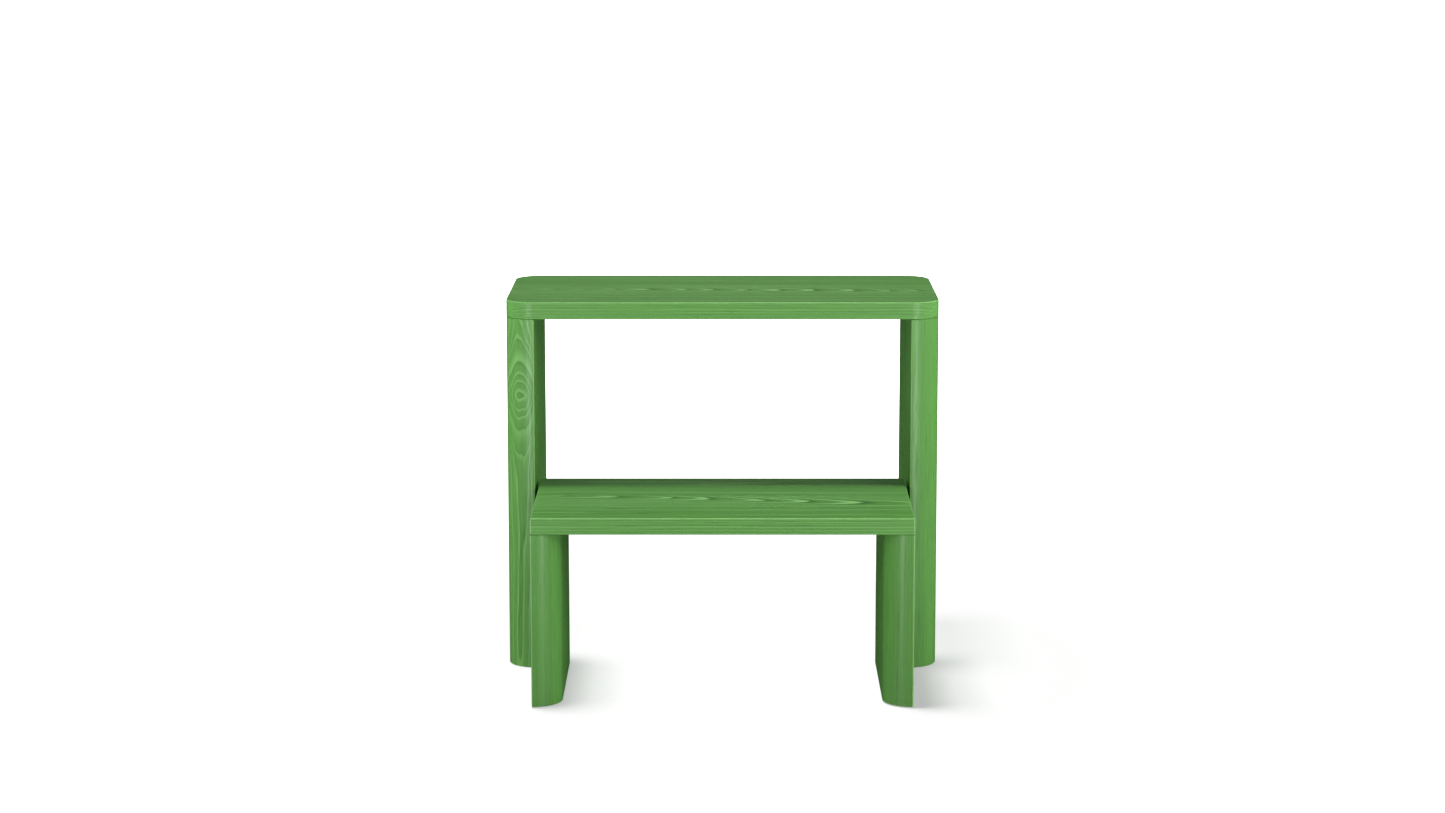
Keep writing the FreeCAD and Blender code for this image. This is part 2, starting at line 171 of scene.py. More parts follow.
# %% [markdown]
# A stave's number is its place across the board divided by the stave width, rounded down.
# Number 0 is the figured stave, centred on the heart line unless the glue lines are shifted.
# White Noise turns each number into three chances that never change, so every stave keeps a
# character of its own.

# %% Numbering the staves
STAVE_WIDTH = 64 * MM
print("staves", round(STAVE_WIDTH / MM), "mm wide")


def number_staves(tree, grained, stave_shift):
    """Each stave's number, its three chances, and 1 for the figured stave or 0."""
    across = add_node(tree, "ShaderNodeSeparateXYZ", {"Vector": grained}).outputs["Y"]
    widths = add_node(
        tree, "ShaderNodeMath", {0: across, 1: 1 / STAVE_WIDTH, 2: 0.5 + stave_shift / STAVE_WIDTH},
        operation="MULTIPLY_ADD",
    ).outputs[0]
    stave = add_node(tree, "ShaderNodeMath", {0: widths}, operation="FLOOR").outputs[0]
    # 1 where the stave's number is 0, with some room for rounding
    figured = add_node(
        tree, "ShaderNodeMath", {0: stave, 1: 0.0, 2: 0.25}, operation="COMPARE",
    ).outputs[0]
    chance = add_node(
        tree, "ShaderNodeTexWhiteNoise", {"W": stave}, noise_dimensions="1D",
    ).outputs["Color"]
    chances = add_node(tree, "ShaderNodeSeparateColor", {"Color": chance})
    return stave, chances, figured


# %% [markdown]
# Next comes the way from the heart of the tree to each point, seen along the grain. A plain
# stave's heart is far below it, at a depth and a side that its chances choose. The figured
# stave follows the heart line that it is given, which may drift sideways and dive.

# %% From the heart to a point
PLAIN_HEART_NEAR = 55 * MM
PLAIN_HEART_SPREAD = 70 * MM
PLAIN_HEART_SIDE = 40 * MM
print("plain hearts", round(PLAIN_HEART_NEAR / MM), "mm down or more")


def from_plain_heart(tree, across, depth, stave, chances):
    """The way to a point from the heart of its own plain stave."""
    inside = add_node(
        tree, "ShaderNodeMath", {0: stave, 1: -STAVE_WIDTH, 2: across}, operation="MULTIPLY_ADD",
    ).outputs[0]
    aside = add_node(
        tree, "ShaderNodeMath",
        {0: chances.outputs["Red"], 1: PLAIN_HEART_SIDE, 2: inside}, operation="MULTIPLY_ADD",
    ).outputs[0]
    deeper = add_node(
        tree, "ShaderNodeMath",
        {0: chances.outputs["Green"], 1: PLAIN_HEART_SPREAD, 2: PLAIN_HEART_NEAR},
        operation="MULTIPLY_ADD",
    ).outputs[0]
    below = add_node(tree, "ShaderNodeMath", {0: depth, 1: deeper}, operation="ADD").outputs[0]
    return add_node(tree, "ShaderNodeCombineXYZ", {"Y": aside, "Z": below}).outputs["Vector"]


def from_heart_line(tree, along, across, depth, dive, drift):
    """The way to a point from the figured stave's sloping heart line."""
    across = add_node(
        tree, "ShaderNodeMath", {0: along, 1: drift, 2: across}, operation="MULTIPLY_ADD",
    ).outputs[0]
    depth = add_node(
        tree, "ShaderNodeMath", {0: along, 1: dive, 2: depth}, operation="MULTIPLY_ADD",
    ).outputs[0]
    return add_node(tree, "ShaderNodeCombineXYZ", {"Y": across, "Z": depth}).outputs["Vector"]


# %% [markdown]
# Where a tree has a waist, its rings dip in towards the heart. A rounded edge that stands out
# over the dip cuts through them in closed ovals: an eye. To make it, a point counts as nearer
# to the heart the further along the grain it is from the waist, so the rings there lie
# further out. A smooth minimum ends that gently, and the far rings run straight again.

# %% The eye
EYE_REACH = 65 * MM
EYE_SIZE = 4 * MM
print("an eye reaches", round(EYE_REACH / MM), "mm along the grain")


def pinch(tree, distance, along, eye):
    """The distance from the heart, with the rings dipping in beside the heart point."""
    square = add_node(
        tree, "ShaderNodeMath", {0: along, 1: along, 2: EYE_SIZE ** 2}, operation="MULTIPLY_ADD",
    ).outputs[0]
    reach = add_node(tree, "ShaderNodeMath", {0: square}, operation="SQRT").outputs[0]
    reach = add_node(
        tree, "ShaderNodeMath", {0: reach, 1: EYE_REACH, 2: EYE_REACH / 2},
        operation="SMOOTH_MIN",
    ).outputs[0]
    return add_node(
        tree, "ShaderNodeMath", {0: reach, 1: -eye, 2: distance}, operation="MULTIPLY_ADD",
    ).outputs[0]


# %% [markdown]
# The distance divided by the width of a ring is the number of years. Good and bad years make
# rings of different widths, so a noise that runs along the years stretches some of them.

# %% Counting the years
UNEVEN_YEARS = 1.6
UNEVEN_PACE = 0.35


def ring_count(tree, grained, ring, dive, drift, stave_shift, eye):
    """The years from the heart, a chance for each stave's tone, and the figured stave."""
    axes = add_node(tree, "ShaderNodeSeparateXYZ", {"Vector": waved_wood(tree, grained)})
    along, across, depth = axes.outputs["X"], axes.outputs["Y"], axes.outputs["Z"]
    stave, chances, figured = number_staves(tree, grained, stave_shift)
    plain = from_plain_heart(tree, across, depth, stave, chances)
    led = from_heart_line(tree, along, across, depth, dive, drift)
    section = add_node(
        tree, "ShaderNodeMix", {"Factor": figured, 4: plain, 5: led}, data_type="VECTOR",
    ).outputs[1]
    distance = add_node(
        tree, "ShaderNodeVectorMath", {0: section}, operation="LENGTH",
    ).outputs["Value"]
    if eye:
        distance = pinch(tree, distance, along, eye)
    even = add_node(tree, "ShaderNodeMath", {0: distance, 1: ring}, operation="DIVIDE").outputs[0]
    uneven = add_node(
        tree, "ShaderNodeTexNoise", {"W": even, "Scale": UNEVEN_PACE, "Detail": 1.0},
        noise_dimensions="1D",
    ).outputs["Fac"]
    years = add_node(
        tree, "ShaderNodeMath", {0: uneven, 1: UNEVEN_YEARS, 2: even}, operation="MULTIPLY_ADD",
    ).outputs[0]
    return years, chances.outputs["Blue"], figured


# %% [markdown]
# Now the colours. Through one year the stain goes from dark in the porous earlywood, through
# an even middle, to the light edge of the latewood. The green comes in hex values.

# %% Colour through one year
STAIN_DARK = "#2f5c1e"
STAIN_BASE = "#4e813a"
STAIN_LIGHT = "#80b56c"
YEAR_SHADES = ((0.22, STAIN_BASE), (0.6, STAIN_BASE), (0.82, STAIN_LIGHT), (0.93, STAIN_LIGHT))
print("the stain's main green in linear light", linear(STAIN_BASE))


def year_colour(tree, season):
    """The stain's colour through a year that runs from 0 to 1, dark at both its ends."""
    figure = add_node(tree, "ShaderNodeValToRGB", {"Fac": season})
    stops = figure.color_ramp.elements
    stops[0].position = 0.0
    stops[0].color = linear(STAIN_DARK)
    stops[1].position = 1.0
    stops[1].color = linear(STAIN_DARK)
    for position, shade in YEAR_SHADES:
        stops.new(position).color = linear(shade)
    return figure.outputs["Color"]


# %% [markdown]
# The figure comes and goes over a board, as it does in real wood, and plain staves show less
# of it. A noise hardly ever leaves the range from 0.3 to 0.7, so that range is stretched.

# %% Where the figure shows
NOISE_LOW = 0.3
NOISE_HIGH = 0.7
PATCH_LENGTH = 166.7 * MM
PATCH_WIDTH = 45.45 * MM
FAINTEST = 0.45
PLAIN_SHARE = 0.25


def figure_strength(tree, grained, figured, contrast):
    """How strongly the rings show at each point."""
    broad = add_node(
        tree, "ShaderNodeMapping",
        {"Vector": grained, "Scale": (1 / PATCH_LENGTH, 1 / PATCH_WIDTH, 1 / PATCH_WIDTH)},
    ).outputs["Vector"]
    patch = add_node(
        tree, "ShaderNodeTexNoise", {"Vector": broad, "Scale": 1.0, "Detail": 1.0},
    ).outputs["Fac"]
    strength = add_node(
        tree, "ShaderNodeMapRange",
        {"Value": patch, "From Min": NOISE_LOW, "From Max": NOISE_HIGH,
         "To Min": FAINTEST * contrast, "To Max": contrast},
    ).outputs["Result"]
    share = add_node(
        tree, "ShaderNodeMath", {0: figured, 1: 1 - PLAIN_SHARE, 2: PLAIN_SHARE},
        operation="MULTIPLY_ADD",
    ).outputs[0]
    return add_node(
        tree, "ShaderNodeMath", {0: strength, 1: share}, operation="MULTIPLY",
    ).outputs[0]


# %% [markdown]
# Fine streaks run along the grain, and each stave takes the stain a little differently. Both
# together change its brightness by eight percent at most.

# %% Streaks, and the tone of each stave
STREAK_LENGTH = 160 * MM
STREAK_WIDTH = 1.2 * MM
STAVE_TONE = 0.12
TONE_HIGH = 0.8
DARKEST = 0.92
LIGHTEST = 1.08


def add_streaks(tree, wood, grained, stave_chance):
    """The wood's colour with its streaks and its stave's own tone."""
    streak_grid = add_node(
        tree, "ShaderNodeMapping",
        {"Vector": grained, "Scale": (1 / STREAK_LENGTH, 1 / STREAK_WIDTH, 1 / STREAK_WIDTH)},
    ).outputs["Vector"]
    streaks = add_node(
        tree, "ShaderNodeTexNoise", {"Vector": streak_grid, "Scale": 1.0, "Detail": 3.0},
    ).outputs["Fac"]
    tone = add_node(
        tree, "ShaderNodeMath", {0: stave_chance, 1: STAVE_TONE, 2: streaks},
        operation="MULTIPLY_ADD",
    ).outputs[0]
    shade = add_node(
        tree, "ShaderNodeMapRange",
        {"Value": tone, "From Min": NOISE_LOW, "From Max": TONE_HIGH, "To Min": DARKEST,
         "To Max": LIGHTEST},
    ).outputs["Result"]
    return add_node(
        tree, "ShaderNodeVectorMath", {0: wood, "Scale": shade}, operation="SCALE",
    ).outputs["Vector"]


# %% [markdown]
# The pores are vessels that the saw has cut open. They are dashes drawn out along the grain,
# most of them in the earlywood, and the stain gathers in them. Real ones are about 0.3 mm wide,
# too fine to show here, so these come every 1.5 mm and are coarser.

# %% Open pores
PORE_LENGTH = 36.67 * MM
PORE_PITCH = 1.5 * MM
PORE_STARTS = 0.52
PORE_FULL = 0.68
EARLYWOOD_ENDS = 0.6
LATE_PORES = 0.35
STAIN_PORE = "#2c5920"
PORE_TINT = 0.45


def open_pores(tree, grained, season):
    """How open the wood is at each point, from 0 to 1."""
    pore_grid = add_node(
        tree, "ShaderNodeMapping",
        {"Vector": grained, "Scale": (1 / PORE_LENGTH, 1 / PORE_PITCH, 1 / PORE_PITCH)},
    ).outputs["Vector"]
    dashes = add_node(
        tree, "ShaderNodeTexNoise", {"Vector": pore_grid, "Scale": 1.0, "Detail": 2.0},
    ).outputs["Fac"]
    cut = add_node(
        tree, "ShaderNodeMapRange",
        {"Value": dashes, "From Min": PORE_STARTS, "From Max": PORE_FULL, "To Min": 0.0,
         "To Max": 1.0},
    ).outputs["Result"]
    early = add_node(
        tree, "ShaderNodeMapRange",
        {"Value": season, "From Min": 0.0, "From Max": EARLYWOOD_ENDS, "To Min": 1.0,
         "To Max": LATE_PORES},
    ).outputs["Result"]
    return add_node(tree, "ShaderNodeMath", {0: cut, 1: early}, operation="MULTIPLY").outputs[0]


def stain_pores(tree, wood, pores):
    """The wood's colour, darker in its pores."""
    tint = add_node(
        tree, "ShaderNodeMath", {0: pores, 1: PORE_TINT}, operation="MULTIPLY",
    ).outputs[0]
    return add_node(
        tree, "ShaderNodeMix", {"Factor": tint, 6: wood, 7: linear(STAIN_PORE)},
        data_type="RGBA",
    ).outputs[2]


# %% [markdown]
# Sanding and handling thin the stain along the eased edges, and a painted highlight lightens them
# further, where light would catch them. Edges that face down sit in shade and get neither. The
# wood pieces mark their eased edges with a number, `eased_edge`.

# %% Rubbed edges, with a painted highlight
# edge colour: stain worn thin plus a painted highlight, kept off edges facing down, in shade
EDGE_STAIN_AND_HIGHLIGHT = "#7aad66"
EDGE_WEAR_AND_HIGHLIGHT = 0.5
FACING_DOWN = -0.3


def rub_and_highlight_edges(tree, wood):
    """The wood's colour, with thinned stain and a painted highlight on eased edges not facing down.
    """
    arris_faces = add_node(tree, "ShaderNodeAttribute", attribute_name="eased_edge").outputs["Fac"]
    facing = add_node(tree, "ShaderNodeNewGeometry").outputs["Normal"]
    upward = add_node(tree, "ShaderNodeSeparateXYZ", {"Vector": facing}).outputs["Z"]
    highlight_by_facing = add_node(
        tree, "ShaderNodeMapRange",
        {"Value": upward, "From Min": FACING_DOWN, "From Max": 0.0, "To Min": 0.0,
         "To Max": EDGE_WEAR_AND_HIGHLIGHT},
    ).outputs["Result"]
    rubbed_and_lit = add_node(
        tree, "ShaderNodeMath", {0: arris_faces, 1: highlight_by_facing}, operation="MULTIPLY",
    ).outputs[0]
    return add_node(
        tree, "ShaderNodeMix", {"Factor": rubbed_and_lit, 6: wood, 7: linear(EDGE_STAIN_AND_HIGHLIGHT)},
        data_type="RGBA",
    ).outputs[2]


# %% [markdown]
# All of it comes together in one material. The satin lacquer gives a soft shine, which the
# open pores break up: they are a little lower than the face and much duller.

# %% The stained ash material
PORE_RELIEF = 0.5
PORE_DEPTH = 0.12 * MM
LACQUER_ROUGHNESS = 0.36
PORE_ROUGHNESS = 0.6
LACQUER_IOR = 1.5
# below the usual 0.5, matched
LACQUER_SPECULAR = 0.2

# turns that lay a mapping's X axis along the grain
ALONG_X = (0.0, 0.0, 0.0)
ALONG_Z = (0.0, -math.pi / 2, 0.0)


def stained_ash(name, grain, heart, ring=3 * MM, dive=0.0, drift=0.0, stave_shift=0.0, eye=0.0,
                contrast=1.0):
    """Green stained, satin lacquered ash whose rings surround a heart line.

    heart is a point on the heart line and grain the turn that lays X along it. dive and drift
    are the line's slopes, away from the mapping's Z and Y. stave_shift moves the glue lines to
    the side, and eye is how steeply the rings dip in beside the heart point.
    """
    material, tree, output = new_material(name)
    place = add_node(tree, "ShaderNodeTexCoord").outputs["Object"]
    grained = add_node(
        tree, "ShaderNodeMapping", {"Vector": place, "Location": heart, "Rotation": grain},
        vector_type="TEXTURE",
    ).outputs["Vector"]
    years, stave_chance, figured = ring_count(
        tree, grained, ring, dive, drift, stave_shift, eye,
    )
    season = add_node(tree, "ShaderNodeMath", {0: years}, operation="FRACT").outputs[0]
    strength = figure_strength(tree, grained, figured, contrast)
    wood = add_node(
        tree, "ShaderNodeMix",
        {"Factor": strength, 6: linear(STAIN_BASE), 7: year_colour(tree, season)},
        data_type="RGBA",
    ).outputs[2]
    wood = add_streaks(tree, wood, grained, stave_chance)
    pores = open_pores(tree, grained, season)
    wood = stain_pores(tree, wood, pores)
    wood = rub_and_highlight_edges(tree, wood)
    relief = add_node(
        tree, "ShaderNodeBump",
        {"Strength": PORE_RELIEF, "Distance": PORE_DEPTH, "Height": pores}, invert=True,
    ).outputs["Normal"]
    sheen = add_node(
        tree, "ShaderNodeMapRange",
        {"Value": pores, "From Min": 0.0, "From Max": 1.0, "To Min": LACQUER_ROUGHNESS,
         "To Max": PORE_ROUGHNESS},
    ).outputs["Result"]
    lacquer = add_node(
        tree, "ShaderNodeBsdfPrincipled",
        {"Base Color": wood, "Roughness": sheen, "Normal": relief,
         "IOR": LACQUER_IOR, "Specular IOR Level": LACQUER_SPECULAR},
    )
    tree.links.new(lacquer.outputs["BSDF"], output.inputs["Surface"])
    print(name)
    return material


# %% [markdown]
# ## Making the wood pieces
#
# The CAD boards are right in size, but their rounded corners come as flat facets. Here each
# board is made again, with small steps in its curves. A board starts as a cube that is
# scaled to size. Its upright corners are bevelled first, and then all sharp edges get the small
# rounding, the arris, that a sander leaves so that bare feet don't catch on them. The faces of
# the arris are marked with a number, `eased_edge`, which the wood material reads.


# %% Helpers for the wood pieces
SHARP = math.radians(40)
ARRIS = 1.1 * MM
ARRIS_STEPS = 3
CORNER_STEPS = 20
print("arris", round(ARRIS / MM, 2), "mm")


def sharp_edges(bm):
    """Edges where two faces meet at a clear angle."""
    return [e for e in bm.edges if len(e.link_faces) == 2 and e.calc_face_angle() > SHARP]


def ease_edges(bm):
    """Round every sharp edge by the arris, and mark the faces that this makes."""
    mark = bm.faces.layers.float.new("eased_edge")
    made = bmesh.ops.bevel(
        bm, geom=sharp_edges(bm), offset=ARRIS, offset_type="OFFSET", segments=ARRIS_STEPS,
        profile=0.5, affect="EDGES", material=-1, clamp_overlap=True,
    )
    for face in made["faces"]:
        face[mark] = 1.0
    return mark


def finish_piece(bm, name, material, body, *nodes):
    """Turn a bmesh into a smooth-shaded piece that rides on a body and stands for CAD nodes."""
    bmesh.ops.recalc_face_normals(bm, faces=bm.faces)
    mesh = bpy.data.meshes.new(name)
    bm.to_mesh(mesh)
    bm.free()
    mesh.materials.append(material)
    mesh.shade_smooth()
    piece = bpy.data.objects.new(name, mesh)
    bpy.context.scene.collection.objects.link(piece)
    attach(piece, body)
    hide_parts(*nodes)
    print(name, len(mesh.polygons), "faces")
    return piece


def even_shading(piece):
    """Keep the flat faces flat and let only the rounded edges turn the light."""
    normals = piece.modifiers.new("even shading", "WEIGHTED_NORMAL")
    normals.mode = "FACE_AREA"
    normals.weight = 100


def wood_board(name, low, high, material, body, node, corner=0.0):
    """A board between two corner points, its upright corners rounded by a radius."""
    bm = bmesh.new()
    bmesh.ops.create_cube(bm, size=1.0)
    bmesh.ops.scale(bm, vec=high - low, verts=bm.verts)
    bmesh.ops.translate(bm, vec=(high + low) / 2, verts=bm.verts)
    if corner:
        upright = [e for e in bm.edges if abs(e.verts[0].co.z - e.verts[1].co.z) > ARRIS]
        bmesh.ops.bevel(
            bm, geom=upright, offset=corner, offset_type="OFFSET", segments=CORNER_STEPS,
            profile=0.5, affect="EDGES", material=-1,
        )
    ease_edges(bm)
    even_shading(finish_piece(bm, name, material, body, node))


# %% [markdown]
# ## The two boards
#
# The top board has the same corner radius as the thickness of the legs under it, so the legs run
# up into its corners as if the whole end were one solid. The tread of the low step has square
# corners, because it must pass between the legs of the tall one. In both, the heart of the tree
# lies a little under the surface and dives towards the right, which draws a row of slim arches.

# %% Top board and tread
HEART_DEPTH = 34 * MM

top_ash = stained_ash(
    "stained ash, top board", ALONG_X, (0.0, 0.074, top_high.z - HEART_DEPTH), dive=0.08,
    drift=0.02, contrast=1.1,
)
wood_board(
    "top_board_wood", top_low, top_high, top_ash, "upper_step", "top_board", leg_thickness,
)

tread_ash = stained_ash(
    "stained ash, tread", ALONG_X, (0.0, -0.100, tread_high.z - HEART_DEPTH), dive=0.055,
    drift=0.12, stave_shift=12 * MM, contrast=1.3,
)
wood_board(
    "tread_board_wood", tread_low, tread_high, tread_ash, "lower_step", "tread_board",
)

# %% [markdown]
# ## The panel legs
#
# Seen from above, a leg is a plank with one flat face, and its other face rolls into both edges
# through a quarter circle as large as the plank is thick. A tall leg is flat inside and round
# outside, a short leg the other way about. The outline is drawn with `spin`, which sweeps one
# point round a centre, and `mirror`, which repeats the quarter circle at the back. It is then
# filled and drawn up to the leg's height.


# %% One panel leg
def panel_leg(name, low, high, flat_x, material, body, node, groove=None):
    """A panel leg between two corner points, flat at flat_x and rounded on the other side."""
    round_side = 1.0 if flat_x < (low.x + high.x) / 2 else -1.0
    radius = high.x - low.x
    middle = (low.y + high.y) / 2
    bm = bmesh.new()
    corner = bm.verts.new((flat_x, low.y, low.z))
    centre = Vector((flat_x, low.y + radius, low.z))
    bmesh.ops.spin(
        bm, geom=[corner], cent=centre, axis=(0.0, 0.0, 1.0), angle=round_side * math.pi / 2,
        steps=CORNER_STEPS,
    )
    about_middle = Matrix.Translation((0.0, -middle, 0.0))
    bmesh.ops.mirror(
        bm, geom=bm.verts[:] + bm.edges[:], matrix=about_middle, merge_dist=-1.0, axis="Y",
    )
    for x in (flat_x, flat_x + round_side * radius):
        ends = sorted(bm.verts, key=lambda v: abs(v.co.x - x))[:2]
        bm.edges.new(ends)
    outline = bmesh.ops.contextual_create(bm, geom=bm.edges[:])["faces"]
    raised = bmesh.ops.extrude_face_region(bm, geom=outline)["geom"]
    tops = [item for item in raised if isinstance(item, bmesh.types.BMVert)]
    bmesh.ops.translate(bm, vec=(0.0, 0.0, high.z - low.z), verts=tops)
    bmesh.ops.recalc_face_normals(bm, faces=bm.faces)
    mark = ease_edges(bm)
    # the leg's top edges are hidden in shade under its board; no painted highlight, no thinned
    # stain
    for face in bm.faces:
        if face.calc_center_median().z > high.z - 2 * ARRIS:
            face[mark] = 0.0
    piece = finish_piece(bm, name, material, body, node)
    if groove:
        carve(piece, groove)
    even_shading(piece)
    return piece


# %% [markdown]
# The tall legs have a groove in their flat face, in which the runner of the low step slides. It
# stops short of the front edge, so nothing of it shows from the front. A router bit leaves round
# ends, so the cutter is a bar with rounded ends, and a Boolean modifier takes it out of the leg.
# The modifier is applied at once, because a cutter that stayed in the scene would be a piece.

# %% The groove
runner_low, runner_high = map(Vector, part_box("runner_right"))
slide = next(joint for joint in frame["joints"] if joint["name"] == "step_slide")
SLIDE_TRAVEL = slide["range_m"][1]
RUNNER_PLAY = 0.3 * MM
RUNNER_FACE_GAP = 0.5 * MM
# a hair under half the height, so that the two rounds of one end don't meet in a doubled edge
ROUND_SHARE = 0.999
print("slide travel", round(SLIDE_TRAVEL / MM), "mm")


def groove_cutter(side):
    """A bar with round ends that fills the groove of the leg on one side, -1 or 1."""
    radius = (runner_high.z - runner_low.z) / 2 + RUNNER_PLAY
    front = runner_low.y - RUNNER_PLAY
    rear = runner_high.y + SLIDE_TRAVEL + RUNNER_PLAY
    bottom = runner_high.x + RUNNER_FACE_GAP
    mouth = runner_low.x
    bm = bmesh.new()
    size = Vector((bottom - mouth, rear - front, 2 * radius))
    bmesh.ops.create_cube(bm, size=1.0)
    bmesh.ops.scale(bm, vec=size, verts=bm.verts)
    ends = [e for e in bm.edges if abs(e.verts[0].co.x - e.verts[1].co.x) > ARRIS]
    bmesh.ops.bevel(
        bm, geom=ends, offset=radius * ROUND_SHARE, offset_type="OFFSET",
        segments=CORNER_STEPS // 2, profile=0.5, affect="EDGES", material=-1,
    )
    centre = Vector((
        side * (bottom + mouth) / 2, (front + rear) / 2, (runner_low.z + runner_high.z) / 2,
    ))
    bmesh.ops.translate(bm, vec=centre, verts=bm.verts)
    mesh = bpy.data.meshes.new("groove_cutter")
    bm.to_mesh(mesh)
    bm.free()
    return mesh


def carve(piece, cutter_mesh):
    """Cut a mesh out of a piece, for good."""
    cutter = bpy.data.objects.new("groove_cutter", cutter_mesh)
    bpy.context.scene.collection.objects.link(cutter)
    cut = piece.modifiers.new("groove", "BOOLEAN")
    cut.object = cutter
    cut.operation = "DIFFERENCE"
    cut.solver = "EXACT"
    ready = piece.evaluated_get(bpy.context.evaluated_depsgraph_get())
    carved = bpy.data.meshes.new_from_object(ready)
    piece.modifiers.clear()
    old = piece.data
    piece.data = carved
    bpy.data.meshes.remove(old)
    bpy.data.objects.remove(cutter)
    bpy.data.meshes.remove(cutter_mesh)
    print(piece.name, "carved,", len(carved.polygons), "faces")


# %% [markdown]
# ## Four legs
#
# Each leg has its own heart line, as four planks from one tree would. Most show straight grain
# to the front. The tall left leg is cut beside a waist in the tree. Its rounded front edge
# stands out over the dip in the rings, which close into ovals there, an eye.

# %% The four legs
LEG_HEARTS = {
    "upper_left": {"heart": (-0.1915, 0.023, 0.310), "ring": 1.4 * MM, "eye": 0.11,
                   "stave_shift": 23 * MM, "contrast": 0.36},
    "upper_right": {"heart": (0.300, 0.096, 0.100), "dive": 0.02, "contrast": 0.25},
    "lower_left": {"heart": (-0.120, -0.100, 0.100), "dive": 0.02, "contrast": 0.25},
    "lower_right": {"heart": (0.110, -0.080, 0.050), "dive": -0.02, "contrast": 0.25},
}

leg_pieces = {}
for step in ("upper", "lower"):
    for side, sign in (("left", -1.0), ("right", 1.0)):
        key = f"{step}_{side}"
        node = f"{step}_leg_{side}"
        low, high = map(Vector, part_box(node))
        inner = min(low.x, high.x, key=abs)
        outer = max(low.x, high.x, key=abs)
        settings = dict(LEG_HEARTS[key])
        heart = settings.pop("heart")
        ash = stained_ash(f"stained ash, {step} {side} leg", ALONG_Z, heart, **settings)
        leg_pieces[key] = panel_leg(
            f"{node}_wood", low, high, inner if step == "upper" else outer, ash,
            f"{step}_step", node, groove_cutter(sign) if step == "upper" else None,
        )

# %% [markdown]
# ## The parts that stay as the CAD made them
#
# Dowels, glides, runners, nails and screws are turned or moulded parts, and the CAD's own
# shapes are already right for them. They only need a finish. Each finish is made once and then
# put in the material slots of every part that has it.

# %% Putting a finish on CAD parts
def finish_nodes(material, word):
    """Put one material in all the slots of every CAD part whose name holds the word."""
    names = sorted(name for name in frame["nodes"] if word in name)
    for name in names:
        for place in frame["nodes"][name].material_slots:
            place.material = material
    print(material.name, "on", ", ".join(names))


# %% [markdown]
# Beech dowels hold each board on its legs. They are pale, with short fine flecks along the
# grain, and are rolled with glue, which leaves them dull. They are quite hidden once glued.

# %% Beech dowels
FLECK_LENGTH = 3 * MM
FLECK_WIDTH = 0.5 * MM
BEECH_LIGHT = "#dcb98c"
BEECH_DARK = "#b98f62"
BEECH_ROUGHNESS = 0.75
beech, tree, output = new_material("unfinished beech dowel")
place = add_node(tree, "ShaderNodeTexCoord").outputs["Object"]
flecks = add_node(
    tree, "ShaderNodeMapping",
    {"Vector": place, "Scale": (1 / FLECK_WIDTH, 1 / FLECK_WIDTH, 1 / FLECK_LENGTH)},
).outputs["Vector"]
fleck = add_node(
    tree, "ShaderNodeTexNoise", {"Vector": flecks, "Scale": 1.0, "Detail": 2.0},
).outputs["Fac"]
beech_colour = add_node(
    tree, "ShaderNodeMix", {"Factor": fleck, 6: linear(BEECH_LIGHT), 7: linear(BEECH_DARK)},
    data_type="RGBA",
).outputs[2]
body = add_node(
    tree, "ShaderNodeBsdfPrincipled", {"Base Color": beech_colour, "Roughness": BEECH_ROUGHNESS},
)
tree.links.new(body.outputs["BSDF"], output.inputs["Surface"])
finish_nodes(beech, "dowels")


# %% [markdown]
# The glides are moulded nylon and the runners are acetal. Both are smooth plastics with a soft
# shine, and both are slightly cloudy, so a faint slow mottle goes into the colour.

# %% Plastics
def moulded_plastic(name, light_colour, dark_colour, roughness, mottle):
    """A smooth plastic whose colour drifts a little over a few millimetres."""
    material, tree, output = new_material(name)
    place = add_node(tree, "ShaderNodeTexCoord").outputs["Object"]
    cloud = add_node(
        tree, "ShaderNodeTexNoise", {"Vector": place, "Scale": 1 / mottle, "Detail": 2.0},
    ).outputs["Fac"]
    colour = add_node(
        tree, "ShaderNodeMix",
        {"Factor": cloud, 6: linear(light_colour), 7: linear(dark_colour)}, data_type="RGBA",
    ).outputs[2]
    body = add_node(
        tree, "ShaderNodeBsdfPrincipled", {"Base Color": colour, "Roughness": roughness},
    )
    tree.links.new(body.outputs["BSDF"], output.inputs["Surface"])
    return material


MOTTLE = 6 * MM
nylon = moulded_plastic("grey nylon", "#8f9290", "#7e817f", 0.45, MOTTLE)
acetal = moulded_plastic("black acetal", "#242625", "#1b1c1c", 0.32, MOTTLE)
finish_nodes(nylon, "glides")
finish_nodes(acetal, "runner_left")
finish_nodes(acetal, "runner_right")


# %% [markdown]
# Nails and screws are steel with a thin bright zinc plating. The plating is a metal, so its
# colour is the colour of its reflection, and tiny crystals in it break the shine up.

# %% Zinc-plated steel
CRYSTAL = 0.6 * MM
ZINC = "#c3c8cc"
ZINC_SMOOTH = 0.22
ZINC_ROUGH = 0.42
zinc, tree, output = new_material("zinc-plated steel")
place = add_node(tree, "ShaderNodeTexCoord").outputs["Object"]
crystals = add_node(
    tree, "ShaderNodeTexNoise", {"Vector": place, "Scale": 1 / CRYSTAL, "Detail": 3.0},
).outputs["Fac"]
shine = add_node(
    tree, "ShaderNodeMapRange", {"Value": crystals, "To Min": ZINC_SMOOTH, "To Max": ZINC_ROUGH},
).outputs["Result"]
body = add_node(
    tree, "ShaderNodeBsdfPrincipled",
    {"Base Color": linear(ZINC), "Metallic": 1.0, "Roughness": shine},
)
tree.links.new(body.outputs["BSDF"], output.inputs["Surface"])
finish_nodes(zinc, "nails")
finish_nodes(zinc, "screws")

# %% [markdown]
# ## The studio
#
# A white floor that runs out into a white background. Far out the floor glows as white as the
# background, so no horizon shows. Close to the stool it glows less, so that a shadow can show.

